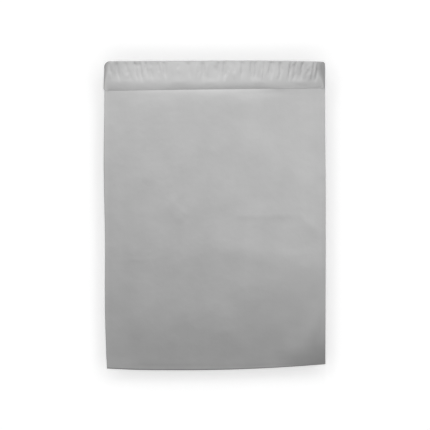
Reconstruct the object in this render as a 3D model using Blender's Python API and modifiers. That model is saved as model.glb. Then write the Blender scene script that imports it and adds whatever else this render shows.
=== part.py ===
"""A poly mailer, sealed and lying on its back, with its flap folded down and stuck to the front.

Units are metres. +X is to the right of the front, +Y runs up the front to the flap, and +Z comes out
of it. The origin is on the table, under the middle of the bag.

The bag is one film. Its section starts at the flap's free edge, runs up the flap, round the top fold,
down the back, round the bottom fold and up the front to the mouth, and comes back down the underside
of the flap. So the film is drawn as one flat grid, with a row for each place along that section, and
a formula then lays each of its points where the folded film lies. Both sides are welded.
"""

import math
import random

import bmesh
import bpy
import numpy as np
from mathutils import Vector

# The bag as it is cut
BAG_WIDTH = 0.250
BAG_HEIGHT = 0.350
SEAL_WIDTH = 0.004
SEAL_EASE = 0.001
SEAM_THICKNESS = 0.0005
SIDE_ROUNDING = 0.0003
BOTTOM_BEND = 0.0015

# The flap, measured down from the top fold
FLAP_DEPTH_LEFT = 0.034
FLAP_DEPTH_RIGHT = 0.031
FLAP_THICKNESS = 0.0003
FLAP_OVERHANG = 0.0010
FLAP_CORNER = 0.0025
MOUTH_DEPTH = 0.0006
HEM_GAP = 0.0003

# The adhesive under the flap
GLUE_START = 0.0033
GLUE_DEPTH = 0.0190
GLUE_THICKNESS = 0.0003
GLUE_CLEARANCE = 0.0003
GLUE_INSET = 0.0030

# How far the outline strays from a rectangle, and where across the bag each stray begins
TOP_DROP_LEFT = 0.0007
TOP_DROP_LEFT_CURVE = 1.0
TOP_DROP_RIGHT = 0.0014
TOP_DROP_RIGHT_CURVE = 2.5
TOP_DROP_START = 0.20
TOP_ROUND_LEFT = 0.0065
TOP_ROUND_RIGHT = 0.0030
BOTTOM_RISE_LEFT = 0.0020
BOTTOM_RISE_LEFT_START = 0.50
BOTTOM_RISE_LEFT_CURVE = 1.8
BOTTOM_RISE_RIGHT = 0.0068
BOTTOM_RISE_RIGHT_START = -0.24
BOTTOM_RISE_RIGHT_CURVE = 1.9
SIDE_TAPER = 0.0030
SIDE_WAVE = 0.0005
SIDE_WAVE_PEAK = 0.08
SIDE_WAVE_LENGTH = 0.5
RIGHT_INSET = 0.0002
RIGHT_BULGE = 0.0008
RIGHT_BULGE_START = 0.15
RIGHT_BULGE_END = 0.45
RIGHT_RETURN = 0.0003
RIGHT_RETURN_START = 0.55
RIGHT_RETURN_END = 0.95

# The little air that is left inside: its height over the glue, at the hem and at its crest
GLUE_AIR_LEFT = 0.0030
GLUE_AIR_RIGHT = 0.0018
HEM_AIR_LEFT = 0.0038
HEM_AIR_RIGHT = 0.0027
AIR_THICKNESS = 0.0050
AIR_REACH = 0.050
AIR_RISE = 1.2
AIR_FALL = 4.2
CREST_DEPTH_LEFT = 0.195
CREST_DEPTH_RIGHT = 0.235
HEM_SWELL = 0.0010
HEM_SWELL_REACH = 0.007
HEM_SWELL_FADE_START = 0.2
HEM_SWELL_FADE_END = 0.6

# The back is flat on the table, and lifts off it towards the edges
SIDE_LIFT = 0.0020
SIDE_LIFT_REACH = 0.022
TOP_LIFT = 0.0022
NECK_DEPTH = 0.006
BOTTOM_LIFT = 0.0014
BOTTOM_LIFT_REACH = 0.016
LIFT_MARGIN = 1e-4
LIFT_CURVE = 0.85
LIFT_EASE = 0.35

# The flap stands puffed up over the glue, with wrinkles pressed into it. Each wrinkle has its place
# across from -1 to 1, its depth and its half width.
PUFF = 0.0011
PUFF_END_REACH = 0.010
HEM_CURVE = 1.5
WRINKLE_LEAN = 0.22
WRINKLE_START = -0.0030
WRINKLE_STOP = 0.0270
WRINKLE_FADE_IN = 0.15
WRINKLE_FADE_OUT = 0.50
WRINKLE_SHARPNESS = 1.5
MAIN_WRINKLES = (
    (-0.955, 0.00058, 0.0020),
    (-0.885, 0.00086, 0.0019),
    (-0.800, 0.00072, 0.0022),
    (-0.722, 0.00120, 0.0018),
    (-0.676, 0.00115, 0.0016),
    (-0.622, 0.00086, 0.0016),
    (-0.575, 0.00065, 0.0018),
    (-0.508, 0.00086, 0.0021),
    (-0.458, 0.00115, 0.0018),
    (-0.240, 0.00058, 0.0028),
    (-0.106, 0.00072, 0.0025),
    (0.040, 0.00079, 0.0020),
    (0.090, 0.00086, 0.0019),
    (0.252, 0.00086, 0.0022),
    (0.338, 0.00115, 0.0015),
    (0.372, 0.00086, 0.0016),
    (0.520, 0.00144, 0.0032),
    (0.601, 0.00101, 0.0018),
    (0.688, 0.00137, 0.0016),
    (0.731, 0.00094, 0.0016),
    (0.791, 0.00079, 0.0018),
    (0.899, 0.00130, 0.0016),
    (0.935, 0.00086, 0.0015),
)
SMALL_WRINKLES = 24
SMALL_WRINKLE_REACH = 0.95
SMALL_WRINKLE_DEPTH = 0.00025
SMALL_WRINKLE_WIDTH = 0.0022
WRINKLE_SEED = 7

# Soft creases in the front: both ends as shares of the width from the middle and of the height from
# the fold, then height and half width in metres
SOFT_CREASES = (
    ((0.20, 0.490), (1.00, 0.480), 0.00025, 0.009),
    ((-0.90, 0.600), (1.05, 0.628), 0.00060, 0.015),
    ((0.36, 0.145), (0.94, 0.420), 0.00050, 0.016),
    ((-0.45, 0.455), (-0.26, 0.520), 0.00035, 0.008),
    ((-0.95, 0.760), (0.40, 0.735), 0.00030, 0.016),
    ((0.45, 0.930), (1.10, 0.890), 0.00070, 0.010),
    ((0.74, 0.430), (1.06, 0.540), 0.00040, 0.005),
)
CREASE_FADE = 0.25
CREASE_REACH = 0.014

# How finely the film is divided
BORDER_COLUMNS = 3
MIDDLE_COLUMNS = 29
FLAP_CUT_COUNT = 4
FLAP_ROWS = 9
NECK_ROWS = 2
BODY_ROWS = 26
FOOT_ROWS = 2
BEND_STEPS = 3
GLUE_COLUMNS = 48
GLUE_ROWS = 5
SHARP_ANGLE = 50
MERGE_DISTANCE = 1e-7

FLAT_TOP = max(FLAP_DEPTH_LEFT, FLAP_DEPTH_RIGHT) + NECK_DEPTH
FLAT_BOTTOM = BAG_HEIGHT - BOTTOM_LIFT_REACH
GLUE_SLOT = GLUE_THICKNESS + 2 * GLUE_CLEARANCE


def clear_scene():
    for item in list(bpy.data.objects):
        bpy.data.objects.remove(item, do_unlink=True)


def new_collection(name):
    collection = bpy.data.collections.new(name)
    bpy.context.scene.collection.children.link(collection)
    return collection


def plain_material(name, colour, roughness):
    material = bpy.data.materials.new(name)
    material.use_nodes = True
    shader = material.node_tree.nodes["Principled BSDF"]
    shader.inputs["Base Color"].default_value = (*colour, 1.0)
    shader.inputs["Roughness"].default_value = roughness
    shader.inputs["Metallic"].default_value = 0.0
    return material


def smooth(share):
    """Goes from 0 to 1 with no kink at either end."""
    share = min(max(share, 0.0), 1.0)
    return share * share * (3 - 2 * share)


def ease_in(value, start, end):
    """Goes smoothly from 0 at start to 1 at end."""
    return smooth((value - start) / (end - start))


def between(low, high, share):
    return low + (high - low) * share


def across(u, left, right):
    """A size that runs evenly from its value at the left side to its value at the right side."""
    return between(left, right, (u + 1) / 2)


def beyond(u, start, curve):
    """Is 0 up to start, and from there rises to 1 at u = 1."""
    return max(0.0, (u - start) / (1 - start)) ** curve


def top_drop(u):
    """How far the top fold lies below its highest point. u goes from -1 at the left to 1."""
    left = TOP_DROP_LEFT * beyond(-u, -TOP_DROP_START, TOP_DROP_LEFT_CURVE)
    return left + TOP_DROP_RIGHT * beyond(u, TOP_DROP_START, TOP_DROP_RIGHT_CURVE)


def bottom_rise(u):
    """The bottom fold bows up at both ends, and more at the right."""
    left = BOTTOM_RISE_LEFT * beyond(-u, BOTTOM_RISE_LEFT_START, BOTTOM_RISE_LEFT_CURVE)
    right = beyond(u, BOTTOM_RISE_RIGHT_START, BOTTOM_RISE_RIGHT_CURVE)
    return left + BOTTOM_RISE_RIGHT * right


def corner_pull(depth, radius):
    """How far a side edge draws in, to round a corner, at this depth from the end of the film."""
    if depth >= radius:
        return 0.0
    return radius * (1 - math.sqrt(1 - (1 - depth / radius) ** 2))


def left_stray(depth):
    """How far the left side edge strays to the right of a straight line."""
    share = depth / BAG_HEIGHT
    wave = SIDE_WAVE * math.cos(2 * math.pi * (share - SIDE_WAVE_PEAK) / SIDE_WAVE_LENGTH)
    return SIDE_TAPER * share**3 + wave + corner_pull(depth, TOP_ROUND_LEFT)


def right_stray(depth):
    share = depth / BAG_HEIGHT
    bulge = RIGHT_BULGE * ease_in(share, RIGHT_BULGE_START, RIGHT_BULGE_END)
    back = RIGHT_RETURN * ease_in(share, RIGHT_RETURN_START, RIGHT_RETURN_END)
    return bulge - back - RIGHT_INSET - corner_pull(depth, TOP_ROUND_RIGHT)


def from_side(u):
    """The distance to the nearer side edge."""
    return (1 - abs(u)) * BAG_WIDTH / 2


def border_share(u):
    """Is 0 all over the flat middle, and rises to 1 at a side edge."""
    return max(0.0, 1 - from_side(u) / SIDE_LIFT_REACH)


def height_at(u, depth):
    """The Y of a point at this depth down from the top fold. The middle rows are straight."""
    drop = top_drop(u) * max(0.0, 1 - depth / FLAT_TOP)
    rise = bottom_rise(u) * max(0.0, 1 - (BAG_HEIGHT - depth) / BOTTOM_LIFT_REACH)
    return BAG_HEIGHT / 2 - depth - drop + rise


def width_at(u, depth):
    """The X of a point of the bag's own panels. The middle columns are straight."""
    stray = left_stray(depth) if u < 0 else right_stray(depth)
    return u * BAG_WIDTH / 2 + stray * border_share(u)


def flap_depth(u):
    return across(u, FLAP_DEPTH_LEFT, FLAP_DEPTH_RIGHT)


def flap_width_at(u, depth):
    """The X of a point of the flap, which hangs over the bag's left side and has round corners."""
    overhang = FLAP_OVERHANG * smooth((depth - MOUTH_DEPTH) / (flap_depth(u) - MOUTH_DEPTH))
    pull = corner_pull(flap_depth(u) - depth, FLAP_CORNER)
    stray = pull - overhang if u < 0 else -pull
    return width_at(u, depth) + stray * border_share(u)


def edge_share(u):
    """Closes the film down to nothing at the very edge of a weld."""
    return min(1.0, from_side(u) / SIDE_ROUNDING)


def past_glue(u, depth):
    """Is 0 over the glue, and rises to 1 at the flap's free edge."""
    glue_end = GLUE_START + GLUE_DEPTH + GLUE_CLEARANCE
    return min(1.0, max(0.0, (depth - glue_end) / (flap_depth(u) - glue_end)))


def air_at(u, depth):
    """The height of the air between the panels. The film is held down along the hem by the flap, is
    a little puffed up on both sides of it, and lies nearly flat from there to a low crest."""
    glue_end = GLUE_START + GLUE_DEPTH
    glue_air = across(u, GLUE_AIR_LEFT, GLUE_AIR_RIGHT)
    hem_air = across(u, HEM_AIR_LEFT, HEM_AIR_RIGHT)
    hem = flap_depth(u)
    crest = across(u, CREST_DEPTH_LEFT, CREST_DEPTH_RIGHT)
    if depth < glue_end:
        along = glue_air * depth / glue_end
    elif depth < hem:
        along = between(glue_air, hem_air, past_glue(u, depth) ** HEM_CURVE)
    elif depth < crest:
        along = between(hem_air, AIR_THICKNESS, 1 - ((crest - depth) / (crest - hem)) ** AIR_RISE)
    else:
        along = AIR_THICKNESS * (1 - ((depth - crest) / (BAG_HEIGHT - crest)) ** AIR_FALL)
    if depth > hem:
        swell = HEM_SWELL * (1 - math.exp((hem - depth) / HEM_SWELL_REACH))
        swell *= 1 - ease_in(u, HEM_SWELL_FADE_START, HEM_SWELL_FADE_END)
        along += swell * smooth((BAG_HEIGHT - depth) / AIR_REACH)
    inward = min(1.0, max(0.0, from_side(u) - SEAL_WIDTH) / AIR_REACH)
    return max(0.0, along) * (1 - (1 - inward) ** 2)


def crease_height(u, depth):
    """The soft creases in the front, each a low round ridge that fades out at its ends."""
    total = 0.0
    for start, end, height, half_width in SOFT_CREASES:
        ends = [Vector((s * BAG_WIDTH / 2, d * BAG_HEIGHT)) for s, d in (start, end)]
        run = ends[1] - ends[0]
        offset = Vector((u * BAG_WIDTH / 2, depth)) - ends[0]
        along = offset.dot(run) / run.length_squared
        aside = (offset - run * along).length / half_width
        fade = smooth(along / CREASE_FADE) * smooth((1 - along) / CREASE_FADE)
        total += height * fade * math.exp(-(aside**2))
    return total * smooth((from_side(u) - SEAL_WIDTH / 2) / CREASE_REACH)


def front_thickness(u, depth):
    return edge_share(u) * SEAM_THICKNESS + air_at(u, depth) + crease_height(u, depth)


def kinked(share):
    """Is 0 up to where the lift starts, then rises at once, and a little less steeply further out.
    The margin keeps the outermost points of the flat exactly on the table."""
    return (max(0.0, share - LIFT_MARGIN) / (1 - LIFT_MARGIN)) ** LIFT_CURVE


def eased(share):
    """Much as kinked, but goes over from flat to sloping softly. It is 1 where share is 1."""
    return (share + math.hypot(share, LIFT_EASE)) / (1 + math.hypot(1, LIFT_EASE))


def end_lift(depth, shape):
    top = TOP_LIFT * shape(1 - depth / FLAT_TOP)
    return top + BOTTOM_LIFT * shape(1 - (BAG_HEIGHT - depth) / BOTTOM_LIFT_REACH)


def back_height(u, depth):
    """The back lies flat on the table, and lifts off it evenly towards each edge."""
    side = SIDE_LIFT * kinked(1 - from_side(u) / SIDE_LIFT_REACH)
    return math.hypot(side, end_lift(depth, kinked))


def front_height(u, depth):
    """The front goes softly over the line where the back lifts, and meets the back at the welds."""
    side = SIDE_LIFT * eased(1 - from_side(u) / SIDE_LIFT_REACH)
    inside = smooth(from_side(u) / SIDE_LIFT_REACH)
    ends = between(end_lift(depth, kinked), end_lift(depth, eased), inside)
    return math.hypot(side, ends) + front_thickness(u, depth)


def all_wrinkles():
    """The main wrinkles, and small ones strewn between them."""
    draw = random.Random(WRINKLE_SEED)
    wrinkles = list(MAIN_WRINKLES)
    for _ in range(SMALL_WRINKLES):
        place = SMALL_WRINKLE_REACH * draw.uniform(-1, 1)
        wrinkles.append((place, SMALL_WRINKLE_DEPTH * draw.uniform(-1, 1), SMALL_WRINKLE_WIDTH))
    return wrinkles


def wrinkle_depth(u, depth, wrinkles):
    """Grooves that start under the top fold, lean in to the middle line and end below the glue."""
    along = (depth - WRINKLE_START) / (WRINKLE_STOP - WRINKLE_START)
    fade = smooth(along / WRINKLE_FADE_IN) * smooth((1 - along) / WRINKLE_FADE_OUT)
    if fade == 0:
        return 0.0
    lean = WRINKLE_LEAN * (depth - GLUE_START) / (BAG_WIDTH / 2)
    total = 0.0
    for place, height, half_width in wrinkles:
        aside = abs(u - place * (1 - lean)) * BAG_WIDTH / 2 / half_width
        total += height * math.exp(-(aside**WRINKLE_SHARPNESS))
    return total * fade


def flap_relief(u, depth, wrinkles):
    """How far the flap's face stands above a plain flap: its puff, less the wrinkles in it."""
    puff = PUFF * (1 - past_glue(u, depth) ** HEM_CURVE) * smooth(from_side(u) / PUFF_END_REACH)
    return max(0.0, puff - wrinkle_depth(u, depth, wrinkles))


def slot_opening(depth):
    """The slot is shut at the mouth, where the flap and the front are one, and soon opens."""
    return min(1.0, (depth - MOUTH_DEPTH) / (GLUE_START - GLUE_CLEARANCE - MOUTH_DEPTH))


def slot_room(u, depth):
    """Room for the adhesive under the flap, which narrows towards the free edge."""
    return between(GLUE_SLOT, HEM_GAP, past_glue(u, depth) ** HEM_CURVE)


def under_flap(u, depth):
    return front_height(u, depth) + slot_room(u, depth) * slot_opening(depth)


def top_of_flap(u, depth, wrinkles):
    filled = slot_room(u, depth) * (1 - slot_opening(depth))
    rise = filled + FLAP_THICKNESS + flap_relief(u, depth, wrinkles)
    return under_flap(u, depth) + edge_share(u) * rise


def bend(low, high, share, upper):
    """A point of a round fold: share is 0 at the tip of the fold and 1 where it runs out flat."""
    swing = math.sin(share * math.pi / 2)
    return between(low, high, (1 + swing) / 2 if upper else (1 - swing) / 2)


def bend_reach(share, reach):
    return reach * (1 - math.cos(share * math.pi / 2))


def panel_depth(u, share):
    """The depth of a row. share is 0 at the mouth, 1 at the flap's free edge, 2 where the back
    starts to lie flat, 3 where it stops, and 4 at the bottom bend."""
    stops = (MOUTH_DEPTH, flap_depth(u), FLAT_TOP, FLAT_BOTTOM, BAG_HEIGHT - BOTTOM_BEND)
    part = min(int(share), len(stops) - 2)
    return between(stops[part], stops[part + 1], share - part)


def crown_point(u, layer, share, wrinkles):
    """A point of the top fold, which is as high as the flap that it turns into."""
    depth = bend_reach(share, MOUTH_DEPTH)
    low = back_height(u, depth)
    flap = GLUE_SLOT + FLAP_THICKNESS + flap_relief(u, MOUTH_DEPTH, wrinkles)
    high = low + front_thickness(u, MOUTH_DEPTH) + edge_share(u) * flap
    return width_at(u, depth), depth, bend(low, high, share, upper=layer == "crown")


def foot_point(u, layer, share):
    depth = BAG_HEIGHT - bend_reach(share, BOTTOM_BEND)
    low = back_height(u, depth)
    high = low + front_thickness(u, BAG_HEIGHT - BOTTOM_BEND)
    return width_at(u, depth), depth, bend(low, high, share, upper=layer == "foot front")


def film_point(u, layer, share, wrinkles):
    """Where a point of the film lies, from its place across and its row in the folded section."""
    if layer in ("crown", "crown back"):
        x, depth, z = crown_point(u, layer, share, wrinkles)
    elif layer in ("foot back", "foot front"):
        x, depth, z = foot_point(u, layer, share)
    else:
        depth = panel_depth(u, share)
        in_flap = layer in ("flap", "underside")
        x = flap_width_at(u, depth) if in_flap else width_at(u, depth)
        if layer == "flap":
            z = top_of_flap(u, depth, wrinkles)
        elif layer == "underside":
            z = under_flap(u, depth)
        elif layer == "front":
            z = front_height(u, depth)
        else:
            z = back_height(u, depth)
    return Vector((x, height_at(u, depth), z))


def film_rows():
    """Every row of the folded section, in order: which layer it is in, and how far along."""
    flap = [i / FLAP_ROWS for i in range(FLAP_ROWS + 1)]
    slot_end = (GLUE_START - GLUE_CLEARANCE - MOUTH_DEPTH) / (FLAP_DEPTH_LEFT - MOUTH_DEPTH)
    flap = sorted(flap + [slot_end])
    bends = [i / BEND_STEPS for i in range(BEND_STEPS)]
    body = list(flap)
    for part, count in enumerate((NECK_ROWS, BODY_ROWS, FOOT_ROWS), start=1):
        body += [part + i / count for i in range(1, count + 1)]
    rows = [("flap", share) for share in reversed(flap)]
    rows += [("crown", share) for share in reversed(bends)]
    rows += [("crown back", share) for share in bends[1:]]
    rows += [("back", share) for share in body]
    rows += [("foot back", share) for share in reversed(bends)]
    rows += [("foot front", share) for share in bends[1:]]
    rows += [("front", share) for share in reversed(body)]
    rows += [("underside", share) for share in flap[1:]]
    return rows + [("flap", 1.0)]


def film_columns():
    """Places across the film from -1 to 1: the edge and weld, the border that lifts, the flat."""
    half = BAG_WIDTH / 2
    seal_start, seal_end = SEAL_WIDTH - SEAL_EASE, SEAL_WIDTH + SEAL_EASE
    distances = [0.0, SIDE_ROUNDING, seal_start]
    distances += [between(seal_end, SIDE_LIFT_REACH, i / BORDER_COLUMNS) for i in range(BORDER_COLUMNS)]
    left = [distance / half - 1 for distance in distances]
    flat = 1 - SIDE_LIFT_REACH / half
    middle = [between(-flat, flat, i / MIDDLE_COLUMNS) for i in range(MIDDLE_COLUMNS + 1)]
    return left + middle + [-u for u in reversed(left)]


def grid_places(mesh, columns, rows):
    """Each vertex of a flat grid with its column, which may lie between two, and its row."""
    for vertex in mesh.verts:
        column = (vertex.co.x + 1) / 2 * (columns - 1)
        row = round((vertex.co.y + 1) / 2 * (rows - 1))
        yield vertex, column, row


def fine_rows(mesh, rows):
    """The crosswise edges of the flap's wrinkled face, which get more points than the rest."""
    wanted = {index for index, (layer, share) in enumerate(rows) if layer == "flap" and 0 < share < 1}
    edges = []
    for edge in mesh.edges:
        first, second = edge.verts
        row = round((first.co.y + 1) / 2 * (len(rows) - 1))
        if abs(first.co.y - second.co.y) < 1e-6 and row in wanted:
            edges.append(edge)
    return edges


def finished_object(mesh, name, collection, material):
    data = bpy.data.meshes.new(name)
    mesh.to_mesh(data)
    mesh.free()
    data.materials.append(material)
    data.shade_smooth()
    data.set_sharp_from_angle(angle=math.radians(SHARP_ANGLE))
    item = bpy.data.objects.new(name, data)
    collection.objects.link(item)
    return item


def make_bag(collection, material):
    rows = film_rows()
    columns = film_columns()
    wrinkles = all_wrinkles()
    mesh = bmesh.new()
    bmesh.ops.create_grid(mesh, x_segments=len(columns) - 1, y_segments=len(rows) - 1, size=1)
    bmesh.ops.subdivide_edges(mesh, edges=fine_rows(mesh, rows), cuts=FLAP_CUT_COUNT)
    for vertex, column, row in list(grid_places(mesh, len(columns), len(rows))):
        u = float(np.interp(column, range(len(columns)), columns))
        vertex.co = film_point(u, *rows[row], wrinkles)
    bmesh.ops.remove_doubles(mesh, verts=mesh.verts, dist=MERGE_DISTANCE)
    bmesh.ops.recalc_face_normals(mesh, faces=mesh.faces)
    return finished_object(mesh, "mailer_bag", collection, material)


def make_glue(collection, material):
    """The adhesive: a thin strip on the front panel, inside the slot under the flap."""
    columns, rows = GLUE_COLUMNS, GLUE_ROWS
    reach = 1 - GLUE_INSET / (BAG_WIDTH / 2)
    mesh = bmesh.new()
    bmesh.ops.create_grid(mesh, x_segments=columns - 1, y_segments=rows - 1, size=1)
    for vertex, column, row in list(grid_places(mesh, columns, rows)):
        u = between(-reach, reach, column / (columns - 1))
        depth = between(GLUE_START, GLUE_START + GLUE_DEPTH, 1 - row / (rows - 1))
        bottom = front_height(u, depth) + GLUE_CLEARANCE
        vertex.co = Vector((width_at(u, depth), height_at(u, depth), bottom))
    strip = finished_object(mesh, "glue_strip", collection, material)
    solid = strip.modifiers.new("Thickness", "SOLIDIFY")
    solid.thickness = GLUE_THICKNESS
    solid.offset = 1.0
    return strip


def centre_over_origin(bag, others):
    """Moves the pieces sideways together, so that the origin is under the middle of the bag."""
    xs = [vertex.co.x for vertex in bag.data.vertices]
    ys = [vertex.co.y for vertex in bag.data.vertices]
    middle = Vector((min(xs) + max(xs), min(ys) + max(ys), 0)) / 2
    for item in (bag, *others):
        item.location = -middle


def main():
    clear_scene()
    collection = new_collection("poly_mailer")
    film = plain_material("film", (0.42, 0.42, 0.42), 0.42)
    glue = plain_material("glue", (0.78, 0.76, 0.70), 0.30)
    bag = make_bag(collection, film)
    strip = make_glue(collection, glue)
    centre_over_origin(bag, [strip])


main()
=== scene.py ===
# %% [markdown]
# # A poly mailer, sealed and lying on its back
#
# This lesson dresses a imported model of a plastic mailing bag. The real bag is one web of polyethylene
# film. It is folded at the bottom and welded down both sides, and its back runs on past the mouth as a
# flap, which is folded down over the front and stuck there. The bag is nearly flat, so all that the
# eye has to go on is a few millimetres of relief: the low pillow of air inside, the wrinkles that were
# pressed into the flap, and the soft creases of the front. The lesson models that relief, gives the
# film its finish, and lights it low from the flap's end, so that the relief shows.
#
# The first cell loads the model, whose box and pieces everything else is measured from.

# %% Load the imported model
import math

import bmesh
import bpy
import numpy as np
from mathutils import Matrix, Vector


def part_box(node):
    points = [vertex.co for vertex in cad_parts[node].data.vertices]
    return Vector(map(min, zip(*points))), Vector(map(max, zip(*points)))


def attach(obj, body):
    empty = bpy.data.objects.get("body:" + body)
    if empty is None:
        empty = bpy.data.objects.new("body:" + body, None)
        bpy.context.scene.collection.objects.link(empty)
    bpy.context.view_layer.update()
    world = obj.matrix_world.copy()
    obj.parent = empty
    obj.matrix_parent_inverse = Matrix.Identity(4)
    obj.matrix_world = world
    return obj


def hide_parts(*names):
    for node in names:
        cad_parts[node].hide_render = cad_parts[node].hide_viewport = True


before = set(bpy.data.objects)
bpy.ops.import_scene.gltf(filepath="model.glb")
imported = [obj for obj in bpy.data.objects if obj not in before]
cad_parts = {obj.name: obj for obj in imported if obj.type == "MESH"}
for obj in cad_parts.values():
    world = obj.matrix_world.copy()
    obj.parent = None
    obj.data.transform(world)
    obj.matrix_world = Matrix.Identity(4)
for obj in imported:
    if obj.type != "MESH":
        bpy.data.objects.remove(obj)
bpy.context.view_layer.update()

bag_low, bag_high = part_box("mailer_bag")
print("the bag's box, in mm:", [round(1000 * (high - low), 1) for low, high in zip(bag_low, bag_high)])

# %% [markdown]
# ## The bag's sizes
#
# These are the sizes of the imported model, in metres, so that the fine film made here lies where the
# coarse solid lies. Only the flap's film and the gaps under it are thinner here, nearer to the real
# film, because a skin for the eye needn't be thick enough to handle.

# %% Sizes of the bag and its flap
BAG_WIDTH = 0.250
BAG_HEIGHT = 0.350
SEAL_WIDTH = 0.004
SEAM_THICKNESS = 0.0005
SIDE_ROUNDING = 0.0003
BOTTOM_BEND = 0.0015

FLAP_DEPTH_LEFT = 0.034
FLAP_DEPTH_RIGHT = 0.031
FLAP_THICKNESS = 0.00008
FLAP_OVERHANG = 0.0010
FLAP_CORNER = 0.0025
MOUTH_DEPTH = 0.0006
HEM_GAP = 0.00004

GLUE_START = 0.0033
GLUE_DEPTH = 0.0190
GLUE_THICKNESS = 0.0003
GLUE_CLEARANCE = 0.00022
GLUE_SLOT = GLUE_THICKNESS + 2 * GLUE_CLEARANCE
print("flap:", 1000 * FLAP_DEPTH_LEFT, "to", 1000 * FLAP_DEPTH_RIGHT, "mm deep")

# %% [markdown]
# ## Helpers for smooth shapes
#
# Film bends in soft curves. So every height below is a formula of two places: `u` runs across the bag,
# from -1 at the left edge to 1 at the right one, and `depth` runs down from the top fold. The same
# relief could be sculpted or painted, but a formula can be laid on any grid and changed by one number.


# %% Shapes that change smoothly
def smooth(share):
    """Goes from 0 to 1 with no kink at either end."""
    share = np.clip(share, 0.0, 1.0)
    return share * share * (3 - 2 * share)


def between(low, high, share):
    return low + (high - low) * share


def across(u, left, right):
    return between(left, right, (u + 1) / 2)


def beyond(u, start, curve):
    """Is 0 up to start, and from there rises to 1 at u = 1."""
    return np.maximum(0.0, (u - start) / (1 - start)) ** curve


print("a quarter of the way along, smooth is at", round(float(smooth(0.25)), 3))

# %% [markdown]
# ## The outline
#
# A welded bag is never a true rectangle. The heat draws the film in along the welds, the bottom fold
# bows up at its ends, and the folded corners are round. Each of these is a small stray from a straight
# edge, of a few millimetres at most. It could be traced point by point, but a few named sizes say what
# the film did. Each stray fades out inside a border, so the middle of the grid stays square and the
# back stays flat on the table.

# %% How far the edges stray
TOP_DROP_LEFT = 0.0007
TOP_DROP_LEFT_CURVE = 1.0
TOP_DROP_RIGHT = 0.0014
TOP_DROP_RIGHT_CURVE = 2.5
TOP_DROP_START = 0.20
TOP_ROUND_LEFT = 0.0065
TOP_ROUND_RIGHT = 0.0030
BOTTOM_RISE_LEFT = 0.0020
BOTTOM_RISE_LEFT_START = 0.50
BOTTOM_RISE_LEFT_CURVE = 1.8
BOTTOM_RISE_RIGHT = 0.0068
BOTTOM_RISE_RIGHT_START = -0.24
BOTTOM_RISE_RIGHT_CURVE = 1.9
SIDE_TAPER = 0.0030
SIDE_TAPER_CURVE = 3
SIDE_WAVE = 0.0005
SIDE_WAVE_PEAK = 0.08
SIDE_WAVE_LENGTH = 0.5
RIGHT_BULGE = 0.0008
RIGHT_BULGE_START = 0.15
RIGHT_BULGE_SPAN = 0.3
RIGHT_RETURN_SHARE = 0.35
RIGHT_RETURN_START = 0.55
RIGHT_RETURN_SPAN = 0.4
RIGHT_INSET_SHARE = 0.25


def top_drop(u):
    left = TOP_DROP_LEFT * beyond(-u, -TOP_DROP_START, TOP_DROP_LEFT_CURVE)
    return left + TOP_DROP_RIGHT * beyond(u, TOP_DROP_START, TOP_DROP_RIGHT_CURVE)


def bottom_rise(u):
    left = BOTTOM_RISE_LEFT * beyond(-u, BOTTOM_RISE_LEFT_START, BOTTOM_RISE_LEFT_CURVE)
    return left + BOTTOM_RISE_RIGHT * beyond(u, BOTTOM_RISE_RIGHT_START, BOTTOM_RISE_RIGHT_CURVE)


def corner_pull(depth, radius):
    """How far a side edge draws in, to round a corner, at this depth from the end of the film."""
    inside = np.clip(1 - depth / radius, 0.0, 1.0)
    return radius * (1 - np.sqrt(1 - inside**2))


def left_stray(depth):
    share = depth / BAG_HEIGHT
    wave = SIDE_WAVE * np.cos(2 * math.pi * (share - SIDE_WAVE_PEAK) / SIDE_WAVE_LENGTH)
    return SIDE_TAPER * share**SIDE_TAPER_CURVE + wave + corner_pull(depth, TOP_ROUND_LEFT)


def right_stray(depth):
    share = depth / BAG_HEIGHT
    out = smooth((share - RIGHT_BULGE_START) / RIGHT_BULGE_SPAN)
    back = RIGHT_RETURN_SHARE * smooth((share - RIGHT_RETURN_START) / RIGHT_RETURN_SPAN)
    return RIGHT_BULGE * (out - back - RIGHT_INSET_SHARE) - corner_pull(depth, TOP_ROUND_RIGHT)


sides = np.array([-1.0, 1.0])
print("the top fold's ends drop, in mm:", (1000 * top_drop(sides)).round(2))
print("the bottom fold's ends rise, in mm:", (1000 * bottom_rise(sides)).round(2))

# %% [markdown]
# The strays are laid over the plain rectangle. The flap gets its own width: it leans out a little past
# the front at the left, because it was folded over slightly askew, and its corners are cut round.

# %% Places in the plane of the table
SIDE_LIFT_REACH = 0.022
NECK_DEPTH = 0.006
BOTTOM_LIFT_REACH = 0.016
FLAT_TOP = max(FLAP_DEPTH_LEFT, FLAP_DEPTH_RIGHT) + NECK_DEPTH
FLAT_BOTTOM = BAG_HEIGHT - BOTTOM_LIFT_REACH


def from_side(u):
    return (1 - np.abs(u)) * BAG_WIDTH / 2


def border_share(u):
    return np.maximum(0.0, 1 - from_side(u) / SIDE_LIFT_REACH)


def width_at(u, depth):
    stray = np.where(u < 0, left_stray(depth), right_stray(depth))
    return u * BAG_WIDTH / 2 + stray * border_share(u)


def height_at(u, depth):
    drop = top_drop(u) * np.maximum(0.0, 1 - depth / FLAT_TOP)
    rise = bottom_rise(u) * np.maximum(0.0, 1 - (BAG_HEIGHT - depth) / BOTTOM_LIFT_REACH)
    return BAG_HEIGHT / 2 - depth - drop + rise


def flap_depth(u):
    return across(u, FLAP_DEPTH_LEFT, FLAP_DEPTH_RIGHT)


def flap_width_at(u, depth):
    overhang = FLAP_OVERHANG * smooth((depth - MOUTH_DEPTH) / (flap_depth(u) - MOUTH_DEPTH))
    pull = corner_pull(flap_depth(u) - depth, FLAP_CORNER)
    return width_at(u, depth) + np.where(u < 0, pull - overhang, -pull) * border_share(u)


print("side edges at mid height, in mm:", (1000 * width_at(sides, BAG_HEIGHT / 2)).round(2))

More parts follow.
